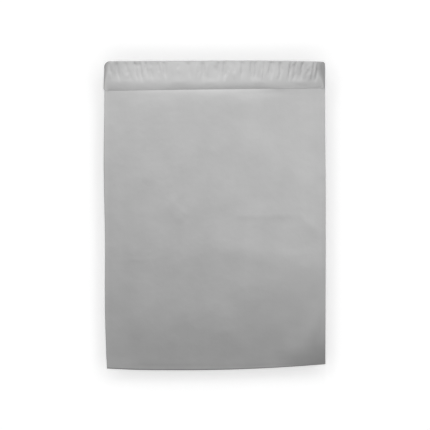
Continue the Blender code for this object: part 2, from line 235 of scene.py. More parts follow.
# %% [markdown]
# ## The pillow of air
#
# What little air is left inside makes a low pillow, nearly 6 mm high in the middle. It is thin under
# the glue, swells a little just below the flap's free edge, rises to a crest and is pinched flat at
# the welds. The crest runs slantwise, higher up the bag on the left than on the right. A simulation
# could blow the bag up, but it would choose a pillow of its own. Here the height is written down span
# by span: over the glue, over the hem, up to the crest, and down to the bottom fold.

# %% Height of the air
AIR_LEFT = 0.0047
AIR_RIGHT = 0.0054
AIR_REACH = 0.050
AIR_RISE = 1.2
AIR_FALL_LEFT = 5.5
AIR_FALL_RIGHT = 2.2
CREST_DEPTH_LEFT = 0.195
CREST_DEPTH_RIGHT = 0.235
GLUE_AIR_LEFT = 0.0030
GLUE_AIR_RIGHT = 0.0018
HEM_AIR_LEFT = 0.0046
HEM_AIR_RIGHT = 0.0031
HEM_SWELL = 0.0036
HEM_SWELL_REACH = 0.010
HEM_SWELL_SPAN = 0.038
HEM_SWELL_START = -1.35
HEM_SWELL_START_SPAN = 1.3
HEM_SWELL_END = 0.62
HEM_SWELL_END_SPAN = 0.3
HEM_HOLLOW_SHARE = 0.1


def past_glue(u, depth):
    """Is 0 over the glue, and rises to 1 at the flap's free edge."""
    glue_end = GLUE_START + GLUE_DEPTH + GLUE_CLEARANCE
    return np.clip((depth - glue_end) / (flap_depth(u) - glue_end), 0.0, 1.0)


def hem_swell(u, depth):
    """How far the front swells up below the flap's free edge. At the right end it is a slight hollow."""
    below = np.maximum(0.0, depth - flap_depth(u))
    swell = HEM_SWELL * (1 - np.exp(-below / HEM_SWELL_REACH)) * np.exp(-below / HEM_SWELL_SPAN)
    right_end = smooth((HEM_SWELL_END - u) / HEM_SWELL_END_SPAN)
    right_end = (1 + HEM_HOLLOW_SHARE) * right_end - HEM_HOLLOW_SHARE
    return swell * right_end * smooth((u - HEM_SWELL_START) / HEM_SWELL_START_SPAN)


def air_at(u, depth):
    glue_end = GLUE_START + GLUE_DEPTH
    hem = flap_depth(u)
    crest = across(u, CREST_DEPTH_LEFT, CREST_DEPTH_RIGHT)
    glue_air = across(u, GLUE_AIR_LEFT, GLUE_AIR_RIGHT)
    hem_air = across(u, HEM_AIR_LEFT, HEM_AIR_RIGHT)
    crest_air = across(u, AIR_LEFT, AIR_RIGHT)
    over_glue = glue_air * depth / glue_end
    over_hem = between(glue_air, hem_air, past_glue(u, depth))
    risen = np.clip((crest - depth) / (crest - hem), 0.0, 1.0)
    rising = between(hem_air, crest_air, 1 - risen**AIR_RISE)
    fallen = np.clip((depth - crest) / (BAG_HEIGHT - crest), 0.0, 1.0)
    falling = crest_air * (1 - fallen ** across(u, AIR_FALL_LEFT, AIR_FALL_RIGHT))
    spans = [depth < glue_end, depth < hem, depth < crest]
    along = np.select(spans, [over_glue, over_hem, rising], falling) + hem_swell(u, depth)
    inward = np.clip((from_side(u) - SEAL_WIDTH) / AIR_REACH, 0.0, 1.0)
    return np.maximum(0.0, along) * (1 - (1 - inward) ** 2)


middle_line = np.linspace(0.0, BAG_HEIGHT, 400)
print("most air on the middle line, in mm:", (1000 * air_at(0 * middle_line, middle_line).max()).round(2))

# %% [markdown]
# ## Creases of the front
#
# The bag lay folded and stacked, and the film remembers it as soft creases. Each is a low bank along a
# straight line, which fades out at both ends. A negative height makes a hollow. They could come from
# noise, but noise has no long straight lines, and the eye knows creases by those.

# %% Soft creases, each with its start, its end, its height and its half width
SOFT_CREASES = (
    ((0.10, 0.492), (0.95, 0.482), 0.00028, 0.009),
    ((-0.98, 0.640), (0.40, 0.606), 0.00048, 0.019),
    ((-0.20, 0.590), (1.10, 0.666), 0.00055, 0.014),
    ((0.05, 0.215), (1.02, 0.440), 0.00065, 0.016),
    ((-0.45, 0.455), (-0.26, 0.520), 0.00035, 0.008),
    ((-0.95, 0.840), (0.40, 0.815), 0.00030, 0.016),
    ((0.56, 0.990), (1.24, 0.775), 0.00150, 0.016),
    ((-0.06, 0.880), (0.22, 0.868), 0.00022, 0.006),
    ((0.72, 0.485), (1.06, 0.595), 0.00045, 0.006),
    ((-1.00, 0.648), (-0.45, 0.640), 0.00010, 0.0016),
    ((0.12, 0.504), (0.80, 0.499), 0.00018, 0.0030),
    ((0.05, 0.695), (1.20, 0.700), 0.00090, 0.030),
    ((-0.42, 0.440), (-0.24, 0.505), 0.00014, 0.0022),
    ((0.16, 0.112), (0.70, 0.098), -0.00030, 0.0045),
    ((-0.86, 0.118), (-0.30, 0.114), -0.00016, 0.0050),
    ((0.55, 0.640), (1.05, 0.600), 0.00025, 0.0060),
    ((-1.10, 0.9850), (1.10, 0.9925), -0.00012, 0.0010),
)
CREASE_FADE = 0.25
CREASE_REACH = 0.014


def crease_height(u, depth):
    total = np.zeros_like(u)
    place = np.stack([u * BAG_WIDTH / 2, depth], axis=-1)
    for start, end, height, half_width in SOFT_CREASES:
        first, last = (np.array([s * BAG_WIDTH / 2, d * BAG_HEIGHT]) for s, d in (start, end))
        run = last - first
        along = (place - first) @ run / (run @ run)
        aside = np.linalg.norm(place - first - along[:, None] * run, axis=1) / half_width
        fade = smooth(along / CREASE_FADE) * smooth((1 - along) / CREASE_FADE)
        total += height * fade * np.exp(-(aside**2))
    return total * smooth((from_side(u) - SEAL_WIDTH / 2) / CREASE_REACH)


creased = 1000 * crease_height(0 * middle_line, middle_line)
print(len(SOFT_CREASES), "creases, which raise the middle line by up to", creased.max().round(2), "mm")

# %% [markdown]
# ## The back and the front
#
# The film is springy, so the rim of the bag curls up a millimetre or two off the table. The back is
# flat and starts to lift at a sharp line. The front rides over the same rim, but softly, and comes
# down to meet the back at the welds.

# %% Heights of the back and the front
SIDE_LIFT = 0.0020
TOP_LIFT = 0.0022
BOTTOM_LIFT = 0.0014
LIFT_CURVE = 0.85
LIFT_EASE = 0.35


def edge_share(u):
    return np.minimum(1.0, from_side(u) / SIDE_ROUNDING)


def front_thickness(u, depth):
    return edge_share(u) * SEAM_THICKNESS + air_at(u, depth) + crease_height(u, depth)


def kinked(share):
    return np.maximum(0.0, share) ** LIFT_CURVE


def eased(share):
    """As kinked, but it goes over from flat to sloping without a kink. It is 1 where share is 1."""
    return (share + np.hypot(share, LIFT_EASE)) / (1 + math.hypot(1, LIFT_EASE))


def end_lift(depth, shape):
    top = TOP_LIFT * shape(1 - depth / FLAT_TOP)
    return top + BOTTOM_LIFT * shape(1 - (BAG_HEIGHT - depth) / BOTTOM_LIFT_REACH)


def back_height(u, depth):
    """The back is flat on the table and lifts off it at a sharp line, like a sheet with a stiff rim."""
    side = SIDE_LIFT * kinked(1 - from_side(u) / SIDE_LIFT_REACH)
    return np.hypot(side, end_lift(depth, kinked))


def front_height(u, depth):
    """The front rides over the rim of the back softly, and meets it at the welds."""
    inside = smooth(from_side(u) / SIDE_LIFT_REACH)
    ends = between(end_lift(depth, kinked), end_lift(depth, eased), inside)
    side = SIDE_LIFT * eased(1 - from_side(u) / SIDE_LIFT_REACH)
    return np.hypot(side, ends) + front_thickness(u, depth)


pillow = front_height(0 * middle_line, middle_line)
print("the pillow's height on the middle line, in mm:", (1000 * pillow.max()).round(2))

# %% [markdown]
# ## The puffed flap
#
# The flap doesn't lie flat on the glue. Between the places where it was pressed down it stands puffed
# up by a millimetre or two, most at its two ends along the top fold. Past the glue it comes down to
# its free edge. How suddenly it does so decides where the bright band above the edge ends, so that has
# a curve of its own, which changes across the bag. A few low lumps stand where the puckered film opens
# out again.

# %% Heights of the puff and the lumps
# The puff is given at the left end, in the middle and at the right end of the flap.
PUFF_TOP = (0.0019, 0.0007, 0.0024)
PUFF_LOW = (0.0007, 0.0011, 0.0003)
PUFF_END_CURVE = 3
PUFF_END_REACH = 0.010
HEM_CURVE = 2.1
HEM_CURVE_LEFT = 1.65
HEM_CURVE_RIGHT = 1.35
HEM_CURVE_TURN = 0.42
HEM_CURVE_TURN_SPAN = 0.14
LUMPS = (
    (-0.84, 0.0235, 0.00012, 0.0060),
    (-0.32, 0.0240, 0.00022, 0.0075),
    (-0.03, 0.0245, 0.00026, 0.0070),
    (0.41, 0.0240, 0.00026, 0.0060),
    (0.78, 0.0245, 0.00026, 0.0085),
)
LUMP_DEPTH_REACH = 0.0032


def hem_curve(u):
    """How suddenly the flap comes down to its free edge: most so right of the middle, least so at the
    right end."""
    left = between(HEM_CURVE_LEFT, HEM_CURVE, smooth(u + 1))
    return between(left, HEM_CURVE_RIGHT, smooth((u - HEM_CURVE_TURN) / HEM_CURVE_TURN_SPAN))


def puff_height(u, depth):
    down = np.minimum(1.0, depth / (GLUE_START + GLUE_DEPTH))
    left, middle, right = (between(top, low, down) for top, low in zip(PUFF_TOP, PUFF_LOW))
    puff = between(middle, np.where(u < 0, left, right), np.abs(u) ** PUFF_END_CURVE)
    return puff * (1 - past_glue(u, depth) ** hem_curve(u)) * smooth(from_side(u) / PUFF_END_REACH)


def lump_height(u, depth):
    """Low round swellings just past the glue. Each has its place, depth, height and half width."""
    total = np.zeros_like(u)
    for place, lump_depth, height, half_width in LUMPS:
        aside = (u - place) * BAG_WIDTH / 2 / half_width
        along = (depth - lump_depth) / LUMP_DEPTH_REACH
        total += height * np.exp(-(aside**4) - along**2)
    return total


flap_line = np.linspace(-1.0, 1.0, 2001)
glue_middle = np.full_like(flap_line, GLUE_START + GLUE_DEPTH / 2)
puffed = 1000 * puff_height(flap_line, glue_middle)
print("the puff over the glue's middle is up to", puffed.max().round(2), "mm")

# %% [markdown]
# ## The wrinkles in the flap
#
# The flap was pressed down by hand, from the middle outwards. The film can't spread over the glue, so
# it puckers: short grooves are pressed into the puffed film side by side, and they fan out towards the
# two ends. A sine wave would look like corrugated card. So the main grooves are placed one by one,
# each steeper on one side than on the other. The last one, with a negative height, is a broad swelling
# between the grooves at the right end.

# %% Main wrinkles, each with its place, its height and its half width
WRINKLE_START = -0.0012
WRINKLE_STOP = 0.0270
WRINKLE_LEAN_LEFT = 0.24
WRINKLE_LEAN_RIGHT = 0.12
WRINKLE_FADE_IN = 0.25
WRINKLE_FADE_OUT = 0.50
WRINKLE_SHARPNESS = 1.5
MAIN_WRINKLES = (
    (-0.955, 0.00069, 0.00190),
    (-0.885, 0.00101, 0.00180),
    (-0.800, 0.00085, 0.00209),
    (-0.722, 0.00141, 0.00171),
    (-0.676, 0.00135, 0.00152),
    (-0.622, 0.00101, 0.00152),
    (-0.575, 0.00076, 0.00171),
    (-0.508, 0.00101, 0.00199),
    (-0.458, 0.00135, 0.00171),
    (-0.240, 0.00080, 0.00266),
    (-0.106, 0.00099, 0.00237),
    (0.040, 0.00109, 0.00190),
    (0.090, 0.00119, 0.00180),
    (0.252, 0.00119, 0.00209),
    (0.338, 0.00159, 0.00143),
    (0.372, 0.00119, 0.00152),
    (0.520, 0.00176, 0.00256),
    (0.601, 0.00124, 0.00144),
    (0.688, 0.00135, 0.00128),
    (0.731, 0.00085, 0.00128),
    (0.791, 0.00096, 0.00144),
    (0.899, 0.00120, 0.00128),
    (0.935, 0.00070, 0.00120),
    (0.895, -0.00080, 0.00750),
)


def wrinkle(u, depth, place, height, half_width, reach, shape):
    """One wrinkle. reach is where it starts and ends, from 0 to 1 down the flap. shape is how much
    steeper one side is, how far it bows sideways, and how much it leans more than its neighbours."""
    steep, bow, extra_lean = shape
    along = (depth - WRINKLE_START) / (WRINKLE_STOP - WRINKLE_START)
    along = (along - reach[0]) / (reach[1] - reach[0])
    lean = across(place, WRINKLE_LEAN_LEFT, WRINKLE_LEAN_RIGHT) * (depth - GLUE_START) / (BAG_WIDTH / 2)
    centre = place * (1 - lean) * BAG_WIDTH / 2 + bow * (along - 0.5) ** 2 + extra_lean * along
    aside = (u * BAG_WIDTH / 2 - centre) / half_width
    aside = aside * np.where(aside > 0, 1 + steep, 1 - steep)
    fade = smooth(along / WRINKLE_FADE_IN) * smooth((1 - along) / WRINKLE_FADE_OUT)
    return height * fade * np.exp(-np.abs(aside) ** WRINKLE_SHARPNESS)


print(len(MAIN_WRINKLES), "main wrinkles")

# %% [markdown]
# Finer wrinkles of uneven length, some raised and some sunk, are strewn between the main ones, and more
# of them crowd the right end. Nobody could place so many by hand, so they come from a seeded draw,
# which gives the same bag each time. The draw's ranges are what the eye judges: width, length, height
# and how far they stray from straight.

# %% Small wrinkles by a seeded draw
WRINKLE_SEED = 7
MAIN_WRINKLE_ENDS = (0.85, 1.0)
MAIN_STRAY = np.array((0.3, 0.003, 0.0010))
SMALL_STRAY = np.array((0.4, 0.006, 0.003))
SMALL_WRINKLES = 110
SMALL_WRINKLE_STARTS = (0.0, 0.5)
SMALL_WRINKLE_SHORTEST = 0.25
SMALL_WRINKLE_LAST_END = 0.95
SMALL_WRINKLE_HALF_WIDTHS = (0.0008, 0.0018)
SMALL_WRINKLE_REACH = 0.97
SMALL_WRINKLE_LEFT = 0.00038
SMALL_WRINKLE_RIGHT = 0.00055
END_WRINKLES = 26
END_WRINKLE_STARTS = (0.15, 0.55)
END_WRINKLE_LENGTH = 0.4
END_WRINKLE_HALF_WIDTH = 0.0012
END_PLACES_AND_HEIGHTS = ((0.66, -0.0007), (0.95, 0.0003))


def wrinkle_height(u, depth):
    """The puffed flap with its lumps, and every wrinkle pressed into it or raised out of it."""
    draw = np.random.default_rng(WRINKLE_SEED)
    total = puff_height(u, depth) + lump_height(u, depth)
    for place, height, half_width in MAIN_WRINKLES:
        shape = draw.uniform(-MAIN_STRAY, MAIN_STRAY)
        reach = (0.0, draw.uniform(*MAIN_WRINKLE_ENDS))
        total -= wrinkle(u, depth, place, height, half_width, reach, shape)
    for _ in range(SMALL_WRINKLES):
        start = draw.uniform(*SMALL_WRINKLE_STARTS)
        end = draw.uniform(start + SMALL_WRINKLE_SHORTEST, SMALL_WRINKLE_LAST_END)
        half_width = draw.uniform(*SMALL_WRINKLE_HALF_WIDTHS)
        shape = draw.uniform(-SMALL_STRAY, SMALL_STRAY)
        place = draw.uniform(-SMALL_WRINKLE_REACH, SMALL_WRINKLE_REACH)
        height = draw.uniform(-1, 1) * across(place, SMALL_WRINKLE_LEFT, SMALL_WRINKLE_RIGHT)
        total += wrinkle(u, depth, place, height, half_width, (start, end), shape)
    for _ in range(END_WRINKLES):
        start = draw.uniform(*END_WRINKLE_STARTS)
        shape = draw.uniform(-SMALL_STRAY, SMALL_STRAY)
        place, height = draw.uniform(*END_PLACES_AND_HEIGHTS)
        reach = (start, start + END_WRINKLE_LENGTH)
        total += wrinkle(u, depth, place, height, END_WRINKLE_HALF_WIDTH, reach, shape)
    return np.maximum(0.0, total) * np.minimum(1.0, from_side(u) / SEAL_WIDTH)


wrinkled = 1000 * wrinkle_height(flap_line, glue_middle)
print("the flap over the glue's middle, in mm:", wrinkled.min().round(2), "to", wrinkled.max().round(2))

# %% [markdown]
# ## Rows and columns of the film
#
# The film starts as one flat grid, which is how it comes off the roll. Each row of the grid belongs to
# one place along the folded section: the flap's free edge, up the flap, round the top fold, down the
# back, round the bottom fold, up the front to the mouth, and down again under the flap. Separate
# panels could be glued together instead, but one grid can't come apart at its folds.

# %% Count the rows and columns
COLUMNS_ACROSS = 168
COLUMNS_AT_WELD = (0.0, SIDE_ROUNDING, 0.0010, 0.0020, 0.0030, 0.0037, 0.0043)
FLAP_ROWS = 28
NECK_ROWS = 12
BODY_ROWS = 132
FOOT_ROWS = 9
BEND_STEPS = 5
LAYERS = ("flap", "crown", "crown back", "back", "foot back", "foot front", "front", "underside")


def film_rows():
    """The layer and the share along it of every row, in order round the folded section."""
    flap = [i / FLAP_ROWS for i in range(FLAP_ROWS + 1)]
    slot_end = (GLUE_START - GLUE_CLEARANCE - MOUTH_DEPTH) / (FLAP_DEPTH_LEFT - MOUTH_DEPTH)
    flap = sorted(flap + [slot_end])
    bends = [i / BEND_STEPS for i in range(BEND_STEPS)]
    body = list(flap)
    for part, count in enumerate((NECK_ROWS, BODY_ROWS, FOOT_ROWS), start=1):
        body += [part + i / count for i in range(1, count + 1)]
    rows = [("flap", share) for share in reversed(flap)]
    rows += [("crown", share) for share in reversed(bends)]
    rows += [("crown back", share) for share in bends[1:]]
    rows += [("back", share) for share in body]
    rows += [("foot back", share) for share in reversed(bends)]
    rows += [("foot front", share) for share in bends[1:]]
    rows += [("front", share) for share in reversed(body)]
    rows += [("underside", share) for share in flap[1:]]
    return rows + [("flap", 1.0)]


def film_columns():
    """Places across, closer together at the welds and even between them."""
    left = np.array(COLUMNS_AT_WELD) / (BAG_WIDTH / 2) - 1
    middle = np.linspace(left[-1], -left[-1], COLUMNS_ACROSS + 1)[1:-1]
    return np.concatenate([left, middle, -left[::-1]])


rows = film_rows()
columns = film_columns()
print(len(rows), "rows and", len(columns), "columns of film")

# %% [markdown]
# ## Fold the film
#
# A formula lays every point of the grid where the folded film lies. The bends are flattened half
# circles, one round the top fold and one round the bottom fold. Under the flap the film keeps a slot
# for the glue, which is shut at the mouth and nearly closed again at the flap's free edge.


# %% Lay the film along the folded section
def panel_depth(u, share):
    """share is 0 at the mouth, 1 at the flap's free edge, 2 and 3 round the flat back, 4 at the end."""
    stops = np.stack([
        np.full_like(u, MOUTH_DEPTH),
        flap_depth(u),
        np.full_like(u, FLAT_TOP),
        np.full_like(u, FLAT_BOTTOM),
        np.full_like(u, BAG_HEIGHT - BOTTOM_BEND),
    ])
    part = np.minimum(share.astype(int), len(stops) - 2)
    index = np.arange(len(u))
    return between(stops[part, index], stops[part + 1, index], share - part)


def slot_opening(depth):
    """The slot is shut at the mouth, where the flap and the front are one, and soon opens."""
    return np.clip((depth - MOUTH_DEPTH) / (GLUE_START - GLUE_CLEARANCE - MOUTH_DEPTH), 0.0, 1.0)


def slot_room(u, depth):
    """Room for the glue under the flap, nearly closed again at the free edge."""
    return between(GLUE_SLOT, HEM_GAP, past_glue(u, depth) ** hem_curve(u))


def lay_film(u, layer, share):
    """The place of every point of the film, from its place across, its layer and its share along."""
    is_in = {name: layer == number for number, name in enumerate(LAYERS)}
    flap_layers = is_in["flap"] | is_in["underside"]
    crown = is_in["crown"] | is_in["crown back"]
    foot = is_in["foot back"] | is_in["foot front"]
    swing = np.sin(share * math.pi / 2)
    reach = 1 - np.cos(share * math.pi / 2)
    depth = panel_depth(u, np.where(crown | foot, 0.0, share))
    depth = np.where(crown, MOUTH_DEPTH * reach, depth)
    depth = np.where(foot, BAG_HEIGHT - BOTTOM_BEND * reach, depth)

    back = back_height(u, depth)
    front = front_height(u, depth)
    room = slot_room(u, depth)
    opening = slot_opening(depth)
    under = front + room * opening
    top = under + edge_share(u) * (room * (1 - opening) + FLAP_THICKNESS + wrinkle_height(u, depth))
    mouth = np.full_like(u, MOUTH_DEPTH)
    fold = GLUE_SLOT + FLAP_THICKNESS + wrinkle_height(u, mouth)
    crown_height = front_thickness(u, mouth) + edge_share(u) * fold
    foot_height = front_thickness(u, np.full_like(u, BAG_HEIGHT - BOTTOM_BEND))
    z = np.select(
        [is_in[name] for name in LAYERS],
        [
            top,
            back + crown_height * (1 + swing) / 2,
            back + crown_height * (1 - swing) / 2,
            back,
            back + foot_height * (1 - swing) / 2,
            back + foot_height * (1 + swing) / 2,
            front,
            under,
        ],
    )
    x = np.where(flap_layers, flap_width_at(u, depth), width_at(u, depth))
    return np.stack([x, height_at(u, depth), z], axis=-1)


crown_top = lay_film(np.zeros(1), np.array([LAYERS.index("crown")]), np.zeros(1))[0]
print("middle of the top fold, in mm:", (1000 * crown_top).round(2))

# %% [markdown]
# ## Where shade is painted on the film
#
# The film's colour is darkened to paint in shade: in a fine line along the welds and the folds, in a
# broad patch at each end of the flap, and in the bottom right corner, where the fold bows up and the
# film turns away from the light. Every point gets one number, which the finish reads further down: 0
# at a weld or a fold, where the painted shade is darkest, and 1 or more where no shade is painted.

# %% A number for how far the film is from a weld or a fold, which sets the painted shade
WELD_SHADE_WIDTH = 0.0006
FOLD_SHADE_WIDTH = 0.0010
FLAP_SHADE_LEFT = 0.0065
FLAP_SHADE_RIGHT = 0.0140
FLAP_SHADE_REACH = 0.036
FOOT_CORNER_SHADE = 0.055
BENT_LAYERS = ("crown", "crown back", "foot back", "foot front")


# Painted shade: 0 where it is darkest, along the welds and folds, at the flap's ends and in the bottom
# right corner.
def painted_shade_distance(u, layer, share):
    depth = panel_depth(u, share)
    bent = np.isin([LAYERS[number] for number in layer], BENT_LAYERS)
    from_foot = BAG_HEIGHT - depth
    from_end = np.where(bent, 0.0, np.minimum(depth, from_foot))
    flap_end_shade_width = np.where(u < 0, FLAP_SHADE_LEFT, FLAP_SHADE_RIGHT)
    width = between(WELD_SHADE_WIDTH, flap_end_shade_width, smooth(1 - depth / FLAP_SHADE_REACH))
    corner = np.where(u > 0, (from_side(u) + from_foot) / FOOT_CORNER_SHADE, 1.0)
    return np.minimum(np.minimum(from_side(u) / width, from_end / FOLD_SHADE_WIDTH), corner)


flap_ends = painted_shade_distance(0.95 * sides, np.array([0, 0]), np.array([0.5, 0.5]))
print("halfway down the flap, 6 mm from its ends:", flap_ends.round(2))

# %% [markdown]
# ## The film's mesh
#
# Both side edges of neighbouring layers come to the same points, so merging close points welds the
# sides, and the bag is one closed skin. The rows of the flap get twice as many points as the others,
# because their wrinkles are the finest shapes in the bag. The new mesh stands in for the coarse solid.

# %% Make the mesh and weld its sides
SAME_ROW = 1e-6
MERGE_DISTANCE = 1e-7
SHARP_ANGLE = 60


def fine_edges(mesh, wanted):
    """Crosswise edges of the rows that get one more point in the middle of each edge."""
    edges = []
    for edge in mesh.edges:
        first, second = edge.verts
        row = round((first.co.y + 1) / 2 * (len(rows) - 1))
        if abs(first.co.y - second.co.y) < SAME_ROW and row in wanted:
            edges.append(edge)
    return edges


def film_mesh():
    wanted = {i for i, (name, share) in enumerate(rows) if name == "flap" and 0 < share < 1}
    mesh = bmesh.new()
    bmesh.ops.create_grid(mesh, x_segments=len(columns) - 1, y_segments=len(rows) - 1, size=1)
    bmesh.ops.subdivide_edges(mesh, edges=fine_edges(mesh, wanted), cuts=1)
    flat = np.array([vertex.co for vertex in mesh.verts])
    column = (flat[:, 0] + 1) / 2 * (len(columns) - 1)
    row = np.rint((flat[:, 1] + 1) / 2 * (len(rows) - 1)).astype(int)
    u = np.interp(column, np.arange(len(columns)), columns)
    layer = np.array([LAYERS.index(name) for name, _ in rows])[row]
    share = np.array([along for _, along in rows])[row]
    places = lay_film(u, layer, share)
    places[:, :2] += (np.array(bag_low[:2]) + np.array(bag_high[:2])) / 2 - (
        places[:, :2].min(axis=0) + places[:, :2].max(axis=0)
    ) / 2
    # Each point keeps its number for the painted shade.
    painted_shade_layer = mesh.verts.layers.float.new("painted_shade_distance")
    for vertex, place, shade_distance in zip(mesh.verts, places, painted_shade_distance(u, layer, share)):
        vertex.co = place
        vertex[painted_shade_layer] = shade_distance
    bmesh.ops.remove_doubles(mesh, verts=mesh.verts, dist=MERGE_DISTANCE)
    bmesh.ops.recalc_face_normals(mesh, faces=mesh.faces)
    data = bpy.data.meshes.new("mailer_film")
    mesh.to_mesh(data)
    mesh.free()
    data.shade_smooth()
    data.set_sharp_from_angle(angle=math.radians(SHARP_ANGLE))
    return data


film = bpy.data.objects.new("mailer_film", film_mesh())
bpy.context.scene.collection.objects.link(film)
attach(film, "root")
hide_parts("mailer_bag")
film.data.calc_loop_triangles()
print("the film has", len(film.data.loop_triangles), "triangles")

# %% [markdown]
# ## Colours and nodes
#
# Colours are written as they look on a screen, as sRGB hex, and one function turns them into the
# linear values that the shader works with. One more function adds a node, sets it and links it.


# %% Helpers for materials
def linear(colour):
    values = [int(colour[i:i + 2], 16) / 255 for i in (1, 3, 5)]
    return (*[v / 12.92 if v <= 0.04045 else ((v + 0.055) / 1.055) ** 2.4 for v in values], 1.0)


def add_node(tree, kind, settings=None, values=None, links=None):
    """Adds a node. settings are its own options, values and links go to its named inputs."""
    node = tree.nodes.new(kind)
    for name, value in (settings or {}).items():
        setattr(node, name, value)
    for name, value in (values or {}).items():
        node.inputs[name].default_value = value
    for name, source in (links or {}).items():
        tree.links.new(source, node.inputs[name])
    return node


def new_material(name):
    material = bpy.data.materials.new(name)
    material.use_nodes = True
    tree = material.node_tree
    return material, tree, tree.nodes["Principled BSDF"]


print("mid grey in linear light:", round(linear("#ADADAD")[0], 3))

# %% [markdown]
# ## The film: co-extruded polyethylene
#
# The bag is blown low-density polyethylene, about 0.06 mm thick, in a grey masterbatch. Blown film is
# drawn upwards out of a round die, which leaves faint streaks along the web, about a centimetre apart.
# Its surface is satin: soft light, a broad sheen, no sharp reflection. A photo of film could be wrapped
# round it, but procedural noise has no seams and its sizes are known. So the colour and the roughness
# wander a little in streaks and in clouds, the clouds are shallow dents too, and a fine bump gives the
# grain of the cooled melt. Along the welds and the folds, at the ends of the flap and in the bottom right
# corner, the colour goes over to a darker grey, which is painted shade.

# %% Grey satin film
STREAK_SPACING = 0.012
STREAK_STRETCH = 0.08
CLOUD_SIZE = 0.030
CLOUD_SHARE = 0.8
CLOUD_DENTS = 0.0008
GRAIN_SIZE = 0.0016
GRAIN_RELIEF = 0.0002
GRAIN_STRENGTH = 0.12
NOISE_LOW = 0.3
NOISE_HIGH = 0.7
FILM_DARKER = "#A9A9A9"
FILM_LIGHTER = "#AFAFAF"
# A darker grey, painted as shade along the welds and folds, at the flap's ends and in the bottom right
# corner.
FILM_PAINTED_SHADE = "#8C8C8C"
FULL_SHADE_SHARE = 0.1
FILM_ROUGHNESS_LOW = 0.48
FILM_ROUGHNESS_HIGH = 0.56
POLYETHYLENE_IOR = 1.51


def satin_film():
    material, tree, shader = new_material("grey_polyethylene_film_with_painted_shade")
    place = add_node(tree, "ShaderNodeTexCoord").outputs["Object"]
    stretch = add_node(
        tree, "ShaderNodeMapping", values={"Scale": (1.0, STREAK_STRETCH, 1.0)}, links={"Vector": place}
    ).outputs["Vector"]
    streaks = add_node(
        tree, "ShaderNodeTexNoise", values={"Scale": 1 / STREAK_SPACING, "Detail": 2.0},
        links={"Vector": stretch},
    ).outputs["Fac"]
    clouds = add_node(
        tree, "ShaderNodeTexNoise", values={"Scale": 1 / CLOUD_SIZE, "Detail": 3.0},
        links={"Vector": place},
    ).outputs["Fac"]
    grain = add_node(
        tree, "ShaderNodeTexNoise", values={"Scale": 1 / GRAIN_SIZE, "Detail": 2.0},
        links={"Vector": place},
    ).outputs["Fac"]
    mottle = add_node(
        tree, "ShaderNodeMix", settings={"data_type": "FLOAT"}, values={"Factor": CLOUD_SHARE},
        links={"A": streaks, "B": clouds},
    ).outputs["Result"]
    tint = add_node(
        tree, "ShaderNodeMapRange", values={"From Min": NOISE_LOW, "From Max": NOISE_HIGH},
        links={"Value": mottle},
    ).outputs["Result"]
    colour = add_node(
        tree, "ShaderNodeMix", settings={"data_type": "RGBA"}, links={"Factor": tint}
    )
    colour.inputs["A"].default_value = linear(FILM_DARKER)
    colour.inputs["B"].default_value = linear(FILM_LIGHTER)
    # Painted shade: the film goes over to the darker grey near the welds, the folds, the flap's ends and
    # the bottom right corner.
    shade_distance = add_node(
        tree, "ShaderNodeAttribute", settings={"attribute_name": "painted_shade_distance"}
    ).outputs["Fac"]
    inside = add_node(
        tree, "ShaderNodeMapRange", settings={"interpolation_type": "SMOOTHSTEP"},
        values={"From Min": FULL_SHADE_SHARE, "From Max": 1.0}, links={"Value": shade_distance},
    ).outputs["Result"]
    colour_with_painted_shade = add_node(
        tree, "ShaderNodeMix", settings={"data_type": "RGBA"}, links={"Factor": inside}
    )
    colour_with_painted_shade.inputs["A"].default_value = linear(FILM_PAINTED_SHADE)
    tree.links.new(colour.outputs["Result"], colour_with_painted_shade.inputs["B"])
    tree.links.new(colour_with_painted_shade.outputs["Result"], shader.inputs["Base Color"])
    sheen = add_node(
        tree, "ShaderNodeMapRange", links={"Value": mottle},
        values={"To Min": FILM_ROUGHNESS_LOW, "To Max": FILM_ROUGHNESS_HIGH},
    ).outputs["Result"]
    tree.links.new(sheen, shader.inputs["Roughness"])
    dents = add_node(
        tree, "ShaderNodeBump", values={"Strength": 1.0, "Distance": CLOUD_DENTS},
        links={"Height": clouds},
    ).outputs["Normal"]
    fine = add_node(
        tree, "ShaderNodeBump", values={"Strength": GRAIN_STRENGTH, "Distance": GRAIN_RELIEF},
        links={"Height": grain, "Normal": dents},
    ).outputs["Normal"]
    tree.links.new(fine, shader.inputs["Normal"])
    shader.inputs["IOR"].default_value = POLYETHYLENE_IOR
    return material


film.data.materials.append(satin_film())
print("finish of the film:", film.data.materials[0].name)

# %% [markdown]
# ## The adhesive: a hot-melt strip
#
# A strip of pressure-sensitive hot-melt, about 19 mm wide, holds the flap. It is hidden once the bag
# is shut, and only a close look into the slot would find it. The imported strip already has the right
# shape, so it keeps its mesh and gets the pale, slightly uneven, tacky gloss of the real thing.

# %% Pale adhesive
RIPPLE_SIZE = 0.0025
RIPPLE_RELIEF = 0.0001
RIPPLE_STRENGTH = 0.3
ADHESIVE_DARKER = "#D9D4C4"
ADHESIVE_LIGHTER = "#E6E2D6"
ADHESIVE_ROUGHNESS = 0.25
ADHESIVE_IOR = 1.48


